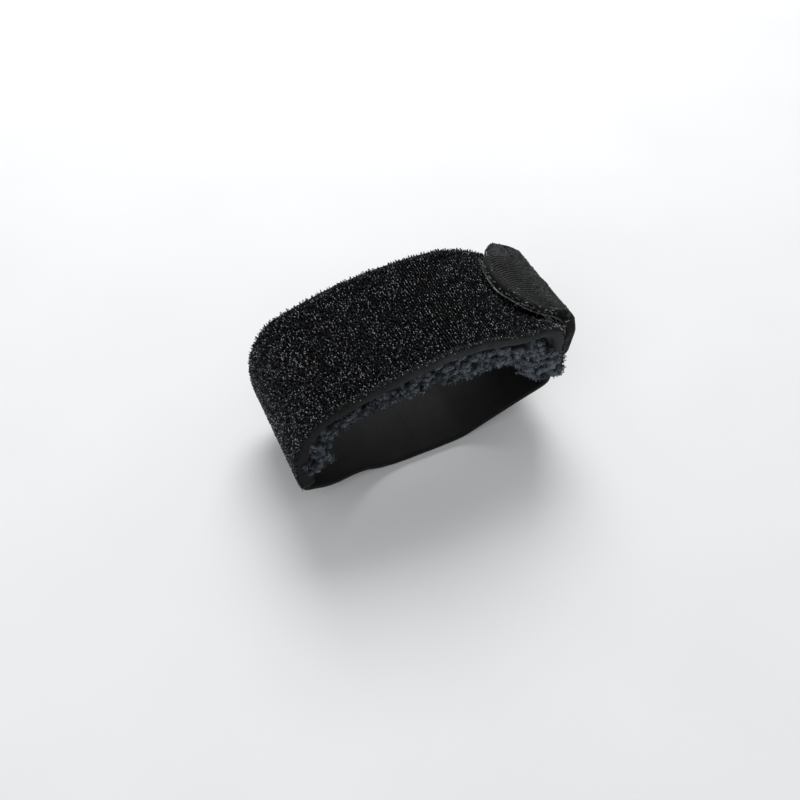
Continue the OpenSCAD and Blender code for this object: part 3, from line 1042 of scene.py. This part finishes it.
def tab_cover():
    """The woven outer face, in one piece from the wall's foot to the round tip."""
    a = tab_stations(WALL_A, FOLD_A + 11.3, 0.21)
    mesh, (at, y, gap) = tab_panel("tab_cover", a, 290, 0.0, cover_top, cover_bottom)
    speck = noise_on(at, y, 0.4, 4.0, gap)
    fine = noise_on(at, y, 0.7, 14.0, gap)
    wear_and_rib_shade = 0.34 + 0.12 * noise_on(at, y, 2.2, 21.0, gap)
    zone = rib_zone(at, y, gap)
    # Painted light and shade on the woven face: darker over the ribbed zone, with light ridges and
    # dark hollows on the ribs whose strength varies in patches; the speckle is the cloth's own
    # random tone.
    shade = 0.46 - 0.20 * zone + wear_and_rib_shade * 3.1 * zone * tab_ribs(at, y) + 0.55 * speck + 0.12 * fine
    # Painted shade towards the rim, except on the wall, and darker along the hem's marks.
    rim = np.maximum(smooth(gap / (0.9 + 0.7 * tip_share(at, y))), smooth(1 - at / 3))
    shade = shade * (1 - 0.95 * hem_mark(at, y)) * (0.12 + 0.88 * rim)
    write_attribute(mesh, "groove", np.clip(shade, 0, 1))
    over_the_fold(add_piece("tab_cover", mesh, TAB_FACE, "woven_face", None,
                            ["tab_side_face", "tab_fold", "tab_face"]))


def tab_layer(name, start, end, grow, across, heights, r, look, stands_for):
    """A flat layer of the tab; heights are its top, its rim and its underside."""
    top, middle, bottom = heights

    def flat(value):
        return lambda a, y, gap: middle + (value - middle) * rounded(gap, r)

    a = tab_stations(start, end, 0.4, grow)
    mesh, _ = tab_panel(name, a, across, grow, flat(top), flat(bottom))
    add_piece(name, mesh, *look, [stands_for])


def tab_layers():
    """Filler and hook tape, on the folded part and on the wall."""
    flap, wall_end = FOLD_A + 0.6, -0.5
    tab_layer("tab_filler", flap, FOLD_A + 11.0, -0.35, 50, (0.2, -0.15, -0.55), 0.18,
              (FOAM, "foam", "tab"), "tab_core")
    tab_layer("hook_tape_flap", flap, FOLD_A + 10.9, -0.5, 50, (-0.5, -0.68, -0.86), 0.1,
              (HOOK_TAPE, "hook_tape", "tab"), "hook_tape_tip")
    tab_layer("tab_wall_filler", WALL_A + 0.2, wall_end, -0.5, 40, (0.3, 0.0, -0.3), 0.18,
              (FOAM, "foam", "side_wall"), "tab_side_core")
    tab_layer("hook_tape_wall", WALL_A + 0.1, wall_end, -0.15, 50, (-0.72, -0.9, -1.08), 0.1,
              (HOOK_TAPE, "hook_tape", "side_wall"), "hook_tape_side")


def hook_field(name, a, y, base, body, stands_for):
    """Rows of nylon hooks: each a stem that bends over at its tip."""
    a, y = (v.ravel() for v in np.meshgrid(a, y, indexing="ij"))
    inside = rim_distance(a, y) > 0.7
    a, y = a[inside, None], y[inside, None]
    rng = np.random.default_rng(len(a))
    t = np.linspace(0, 1, 7)
    reach = 0.17 * (1 - np.cos(t * 2.6))
    A = a + reach * rng.choice([-1, 1], a.shape)
    Y = y + 0.05 * rng.normal(size=a.shape)
    rise = HOOK_H * np.sin(t * 2.35) * (0.9 + 0.1 * rng.random(a.shape))
    strand_piece(name, tab_place(A, Y, base - rise), 0.07, rng.random(len(a)), HOOK, "hooks",
                 body, 4, [stands_for])


def make_hooks():
    """Hooks under the flap and inside the wall."""
    pitch = 0.85
    hook_field("hooks_flap", np.arange(FOLD_A + 1.4, FOLD_A + 11, pitch),
               np.arange(TAB_NEAR + 0.6, TAB_FAR, pitch), -0.8, "tab", "hook_field_tip")
    hook_field("hooks_wall", np.arange(WALL_A + 1.2, WALL_A + 8.5, pitch),
               np.arange(TAB_NEAR + 0.9, TAB_FAR - 0.8, pitch), -1.05, "side_wall",
               "hook_field_side")


def tab_rim(step=0.25, lowest=-13.0, far_from=None):
    """The tab's outline and the way out of it, round the tip to the wall's near edge.

    With far_from it starts on the far edge, at that length along the tab.
    """
    first = math.acos((TAB_FAR - TIP_Y) / TIP_R)
    turn = stations(-math.pi / 2, math.pi / 2 - first, step / TIP_R)[::-1]
    down = stations(lowest, TIP_A - step, step)[::-1]
    tip_a = TIP_A + TIP_R * np.cos(turn)
    rise = np.array([]) if far_from is None else stations(far_from, tip_a[0], step)[:-1]
    a = np.concatenate([rise, tip_a, down])
    y = np.concatenate([tab_edges(rise)[1], TIP_Y + TIP_R * np.sin(turn), tab_edges(down)[0]])
    out_a = np.concatenate([0 * rise, np.cos(turn), 0 * down])
    out_y = np.concatenate([0 * rise + 1, np.sin(turn), 0 * down - 1])
    return a, y, out_a, out_y


def rim_grow(a, y):
    """How far outside the tab's outline the hook tape's edge runs."""
    return -0.60 + 0.68 * tip_share(a, y)


def eased(line, a):
    """A line round the tab's rim, its sharp turn inside the fold rounded off."""
    soft = line.copy()
    for _ in range(120):
        soft[1:-1] = (soft[:-2] + 2 * soft[1:-1] + soft[2:]) / 4
    share = smooth((6.5 - abs(a - FOLD_A / 2)) / 3.0)[:, None]
    return line + (soft - line) * share


def corner_web(a, y, inner):
    """The inside of the fold at its near corner."""
    edge = tab_place(a, y + 0.06, FACE_H)
    back = np.array([0.0, 0.5, 0.0])
    rows = np.stack([edge, inner, inner + back, edge + back], 1)
    lengths = np.repeat(np.stack([a, y, 0 * a], -1), 4, axis=0)
    # Painted shade: low numbers darken the web inside the fold's corner.
    groove = np.tile([0.34, 0.30, 0.2, 0.2], len(a))
    mesh = shell("tab_corner_web", rows, lengths, groove)
    over_the_fold(add_piece("tab_corner_web", mesh, TAB_FACE, "woven_face"))


def selvedge():
    """The pale woven edge of the hook tape: two twisted cords round the rim."""
    a, y, out_a, out_y = tab_rim()
    length = np.arange(len(a)) * 0.25
    grow = rim_grow(a, y) + 0.4 * smooth((FOLD_A + 3.5 - a) / 3.5)
    grow = grow + 0.16 * noise_on(length, 0, 2.0, 4.0)
    turn = 2 * np.pi * length / 1.1 + np.array([[0.0], [np.pi]])
    off = grow + 0.06 * np.cos(turn)
    h = 0.07 * np.sin(turn) - 0.90 - 0.40 * smooth(-a / 2)
    lines = tab_place(a + off * out_a, y + off * out_y, h)
    middle = lines.mean(axis=0)
    inner = eased(middle, a)
    wear_and_rib_shade = noise_on(length, 0, 1.2, 14.0) + noise_on(length, 0, 2.6, 31.0)
    tone = 0.42 + 0.5 * wear_and_rib_shade + 0.25 * np.random.default_rng(5).normal(size=len(a))
    tone = np.clip(tone, 0, 1) * smooth((4.5 - y) / 3)
    over_the_fold(strand_piece("hook_selvedge_cord", lines + inner - middle, 0.1,
                               np.tile(tone, 2), SELVEDGE, "selvedge", None, 6,
                               ["hook_selvedge"]))
    corner = (y < 0) & (a > -4.5) & (a < FOLD_A + 5)
    corner_web(a[corner], y[corner], inner[corner])


def cut_edge():
    """Short dark loops along the tab's cut edge."""
    rng = np.random.default_rng(9)
    rows = 7
    outline = tab_rim(0.2, FOLD_A + 1.2, far_from=FOLD_A + 2.2)
    a, y, out_a, out_y = (np.repeat(v, rows)[:, None] for v in outline)
    t = np.tile(np.linspace(0, 1, rows), len(a) // rows)[:, None]
    t = t + rng.normal(0, 0.06, t.shape)
    tip = tip_share(a, y)
    off = (-0.3 - 0.75 * tip) * (1 - t) ** 2 + 0.5 * t * (1 - t) * (1 - tip)
    off += (-1.15 + 1.0 * tip) * t ** 2
    h = 0.85 - 1.55 * t - 0.12 * tip * (1 - t)
    a, y = a + off * out_a, y + off * out_y
    sideways, up = omega(0.36, 0.34, 6)
    up = up * (0.6 + 0.5 * rng.random(a.shape)) * (1 - 0.45 * t)
    up = up * (0.35 + 0.65 * smooth((a - FOLD_A - 1) / 5))
    lean = rng.normal(0.5 - t, 0.4)
    A, Y = a + up * out_a - sideways * out_y, y + up * out_y + sideways * out_a
    tone = np.clip(rng.normal(0.5, 0.25, a.shape), 0, 0.85)
    # Painted glints: about one loop in eight gets the ramp's pale top colour.
    tone[rng.random(a.shape) < 0.12] = 0.92
    over_the_fold(strand_piece("tab_cut_edge", tab_place(A, Y, h + lean * up * 0.8), 0.075,
                               tone, PILE_LOOP, "woven_face"))


def tab_sewing():
    """Stitches round the tip, down the wall's sides and across the elastic's end."""
    r = TIP_R - 1.55
    turn = np.radians(np.arange(-72, 50, 9.0))
    stitches("tip_stitches", tab_place, TIP_A + r * np.cos(turn), TIP_Y + r * np.sin(turn),
             TAB_HALF_T - 0.1, (-np.sin(turn), np.cos(turn)), 1.2, 0.1, "tab", "tab_stitching")
    a = np.arange(WALL_A + 1.5, -1.5, 1.8)
    near, far = tab_edges(a)
    stitches("wall_stitches", tab_place, np.tile(a, 2), np.concatenate([near + 1.3, far - 1.3]),
             TAB_HALF_T + 0.02, (1, 0), STITCH, 0.12, "side_wall", "tab_side_stitching")
    y, a = np.meshgrid(np.arange(-STRAP_HALF + 1.2, STRAP_HALF - 0.5, 1.5),
                       [WALL_A + 1.0, WALL_A + 3.2])
    stitches("tab_bar_tacks", tab_place, a.ravel(), y.ravel(), TAB_HALF_T + 0.02, (0, 1), STITCH,
             0.12, "side_wall", "tab_bar_tack")


def tongue_tacks():
    """Bar tacks that hold the elastic's end inside the bass-side foot."""
    y, s = np.meshgrid(np.arange(-STRAP_HALF + 1.2, STRAP_HALF - 0.8, 1.5), [0.9, 1.9])
    stitches("tongue_tacks", band.place, s.ravel(), y.ravel(), LAMINATE_T + STRAP_T + 0.05, (0, 1),
             STITCH, 0.15, "pad", "strap_bar_tack")


def tab_lint():
    """Short fibres that lie about on the tab's woven face."""
    rng = np.random.default_rng(71)
    count = 2600
    a = rng.uniform(-13.0, FOLD_A + 11.0, count)
    y = rng.uniform(TAB_NEAR, TAB_FAR, count)
    gap = rim_distance(a, y)
    keep = (gap > 0.35) & (rng.random(count) > 0.75 * rib_zone(a, y, gap)) & (hem_mark(a, y) < 0.2)
    a, y = a[keep, None], y[keep, None]
    way = rng.uniform(0, 2 * np.pi, a.shape)
    t = np.linspace(-0.5, 0.5, 5)
    reach = 0.25 + 0.35 * rng.random(a.shape)
    bend = (t ** 2 - 0.1) * rng.normal(0, 1.2, a.shape) * reach
    A = a + reach * t * np.cos(way) - bend * np.sin(way)
    Y = y + reach * t * np.sin(way) + bend * np.cos(way)
    h = cover_top(A, Y, rim_distance(A, Y)) + 0.07 - 0.2 * t ** 2
    tone = np.clip(rng.normal(0.68, 0.16, a.shape), 0.2, 0.90)
    over_the_fold(strand_piece("tab_lint", tab_place(A, Y, h), 0.034, tone, PILE_LOOP,
                               "woven_face"))


def stray_fibres():
    """Pale hairs between the tab and the band's shoulder."""
    rng = np.random.default_rng(17)
    count = 26
    start = band.where(0, 22.5)
    s = rng.uniform(start, start + 5, count)
    y = -HALF_W + 0.2 + 3.5 * rng.random(count)
    root = band.place(s, y, 0.2)
    out = root - band.place(s, y, 1.2) - [0, 0.7, 0]
    hairs("stray_fibres", rng, root, out, 0.4, (0.5, 0.8, 1), (0.8, 3.6), (0.92, 0.06, 0), 0.028,
          (PILE_LOOP, "loop_pile", "pad"))


def selvedge_hairs():
    """Pale hairs frayed from the hook tape's edge."""
    rng = np.random.default_rng(83)
    count, at_corner = 26, 16
    outline = tab_rim(0.05, 0.0)
    some = np.flatnonzero(outline[1] < -3.5)
    pick = rng.choice(some, count)
    pick[:at_corner] = rng.choice(some[-len(some) // 3:], at_corner)
    a, y, out_a, out_y = (v[pick] for v in outline)
    grow = rim_grow(a, y)
    root = tab_place(a + grow * out_a, y + grow * out_y, -0.95)
    out = np.tile([0.1, -0.7, -0.75], (count, 1))
    hairs("selvedge_hairs", rng, root, out, 0.45, (0.35, 0.9, 1.5), (0.8, 3.8),
          (0.75, 0.25, 0.2), 0.036, (SELVEDGE, "selvedge", "tab"))


def make_tab():
    """Everything on the treble-side wall and the folded tab."""
    tab_cover()
    tab_layers()
    make_hooks()
    selvedge()
    selvedge_hairs()
    tab_lint()
    cut_edge()
    tab_sewing()


# ---- studio

def make_floor():
    """A pale floor just under the elastic."""
    size = 3.0
    corners = [(-size, -size, 0), (size, -size, 0), (size, size, 0), (-size, size, 0)]
    floor = plain_object("floor", corners, [(0, 1, 2, 3)], 1.0)
    floor.location.z = -0.08 * MM
    material, tree, shader = new_material("floor_paper", 0.85, 0.2)
    paper = ramp(tree, grain(tree, 40.0), [(0.0, grey(0.80)), (1.0, grey(0.86))])
    tree.links.new(paper, shader.inputs["Base Color"])
    floor.data.materials.append(material)


def add_light(name, location, size, power):
    """A square soft light aimed at the middle of the wrap."""
    data = bpy.data.lights.new(name, "AREA")
    data.energy = power
    data.size = size
    light = link(name, data)
    light.location = location
    aim = Vector((0, 0, 20 * MM)) - light.location
    light.rotation_mode = "QUATERNION"
    light.rotation_quaternion = aim.to_track_quat("-Z", "Y")


def make_studio():
    """A floor, two soft lights and a pale world."""
    make_floor()
    add_light("key", (0.12, 0.30, 0.42), 0.30, 2.0)
    add_light("fill", (-0.45, -0.25, 0.35), 0.5, 0.7)
    world = bpy.data.worlds.new("studio")
    world.use_nodes = True
    background = world.node_tree.nodes["Background"]
    background.inputs["Color"].default_value = (0.95, 0.97, 1.0, 1)
    background.inputs["Strength"].default_value = 0.5
    scene.world = world
    scene.view_settings.view_transform = "Standard"


def make_camera():
    """Looks down on the wrap from beyond its bass side."""
    data = bpy.data.cameras.new("camera")
    data.sensor_width = 36
    data.lens = 41.28
    data.clip_start = 0.005
    camera = link("camera", data)
    forward = Vector((0.2661, 0.5265, -0.8075)).normalized()
    right = Vector((0.905, -0.425, 0.021))
    right = (right - forward * right.dot(forward)).normalized()
    up = right.cross(forward)
    turn = Matrix((right, up, -forward)).transposed()
    camera.matrix_world = Matrix.Translation((-0.0546, -0.10455, 0.1684)) @ turn.to_4x4()
    scene.camera = camera


make_camera()
make_studio()
make_band_layers()
for end, way in (("near", -1), ("far", 1)):
    edge_roll("edge_roll_" + end, way, ["edge_binding_" + end])
end_roll()
make_pile()
for end, way in (("near", -1), ("far", 1)):
    band_seam("seam_" + end, way, "pad_seam_" + end)
fleece_curls(*fleece_pad())
make_strap()
tongue_tacks()
make_tab()
stray_fibres()
